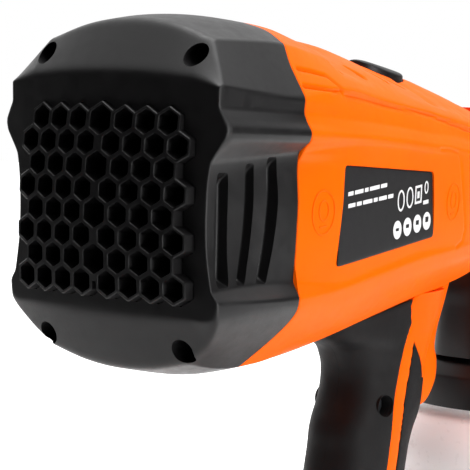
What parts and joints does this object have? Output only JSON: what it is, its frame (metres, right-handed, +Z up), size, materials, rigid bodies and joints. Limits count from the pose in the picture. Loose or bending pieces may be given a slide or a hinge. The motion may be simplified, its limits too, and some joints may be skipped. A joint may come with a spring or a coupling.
{
  "type": "electric paint sprayer",
  "caption": "Handheld turbine paint sprayer: rear intake grille, tapering motor body, slanted trigger handle, spray head with air cap and a screw-on paint container below.",
  "frame": {"origin": "centre of the paint container's base, on the ground the sprayer stands on", "axes": "+Z up, +Y the way it sprays, +X to the right of whoever holds it"},
  "size_m": [0.095, 0.3128, 0.2578],
  "materials": {
    "orange": "satin moulded ABS",
    "black": "fine textured ABS",
    "grip": "soft overmould",
    "label": "printed label",
    "lock": "satin",
    "foam": "open foam",
    "jar": "translucent polyethylene",
    "steel": "turned",
    "dark_steel": "zinc plated",
    "copper": "enamelled winding",
    "brass": "turned",
    "clear": "clear tube",
    "inner": "glass-filled nylon",
    "seal": "moulded",
    "white_part": "nylon"
  },
  "bodies": {
    "container": {"paint_container": "jar"},
    "gun": {"rear_cover": "black", "intake_grille": "black", "air_filter": "foam", "cover_screw_1": "dark_steel", "cover_screw_2": "dark_steel", "cover_screw_3": "dark_steel", "cover_screw_4": "dark_steel", "housing_right": "orange", "housing_left": "orange", "label_plate": "label", "button_spring": "steel", "grip_right": "grip", "grip_left": "grip", "grip_front": "grip", "handle_screw_1": "dark_steel", "handle_screw_2": "dark_steel", "handle_foot": "black", "cable_inlet": "seal", "trigger_pin_right": "steel", "trigger_pin_left": "steel", "switch_body": "inner", "capacitor": "inner", "turbine_case_rear": "inner", "turbine_case_front": "inner", "motor_can": "dark_steel", "field_core": "steel", "bearing_rear": "steel", "bearing_front": "steel", "end_bell": "inner", "brush_right": "brass", "brush_left": "brass", "air_duct": "inner", "head_body": "black", "packing_nut": "brass", "needle_spring": "steel", "fluid_nozzle": "black", "air_hose": "clear", "lid": "black", "lid_gasket": "seal", "suction_tube": "clear"},
    "trigger": {"trigger": "orange"},
    "needle": {"needle": "steel"},
    "plunger": {"switch_plunger": "white_part"},
    "button": {"release_button": "black"},
    "rotor": {"impeller": "white_part", "motor_shaft": "steel", "armature": "copper", "commutator": "brass"},
    "lock_ring": {"lock_ring": "lock"},
    "cap_ring": {"retaining_ring": "orange"},
    "air_cap": {"air_cap": "black"},
    "flow_knob": {"flow_knob": "orange"}
  },
  "joints": [
    {"name": "gun_lift", "type": "slide", "parent": "container", "child": "gun", "axis": [0, 0, 1], "range_m": [0, 0.125]},
    {"name": "trigger_pull", "type": "hinge", "parent": "gun", "child": "trigger", "pos_m": [0, -0.07, 0.222], "axis": [-1, 0, 0], "range_deg": [0, 7], "stiffness_Nm_per_rad": 3, "springref_deg": -5.73},
    {"name": "needle_slide", "type": "slide", "parent": "gun", "child": "needle", "axis": [0, -1, 0], "range_m": [0, 0.002], "deforming": ["needle_spring"]},
    {"name": "switch_plunge", "type": "slide", "parent": "gun", "child": "plunger", "axis": [0, -1, 0], "range_m": [0, 0.0046]},
    {"name": "button_press", "type": "slide", "parent": "gun", "child": "button", "axis": [0, 0, -1], "range_m": [0, 0.002], "stiffness_N_per_m": 800, "springref_m": -0.002, "deforming": ["button_spring"]},
    {"name": "motor_spin", "type": "hinge", "parent": "gun", "child": "rotor", "pos_m": [0, -0.18, 0.203], "axis": [0, 1, 0], "continuous": true},
    {"name": "lock_ring_turn", "type": "hinge", "parent": "gun", "child": "lock_ring", "pos_m": [0, -0.0387, 0.206], "axis": [0, 1, 0], "range_deg": [0, 35]},
    {"name": "cap_ring_turn", "type": "hinge", "parent": "gun", "child": "cap_ring", "pos_m": [0, 0.03, 0.206], "axis": [0, 1, 0], "range_deg": [0, 90]},
    {"name": "air_cap_turn", "type": "hinge", "parent": "gun", "child": "air_cap", "pos_m": [0, 0.04, 0.206], "axis": [0, 1, 0], "range_deg": [-90, 90]},
    {"name": "flow_knob_turn", "type": "hinge", "parent": "gun", "child": "flow_knob", "pos_m": [0, -0.012, 0.23], "axis": [0, 0, 1], "range_deg": [-135, 135]}
  ],
  "couplings": [
    {"joint": "needle_slide", "follows": "trigger_pull", "m_per_rad": 0.016},
    {"joint": "switch_plunge", "follows": "trigger_pull", "m_per_rad": 0.037}
  ]
}
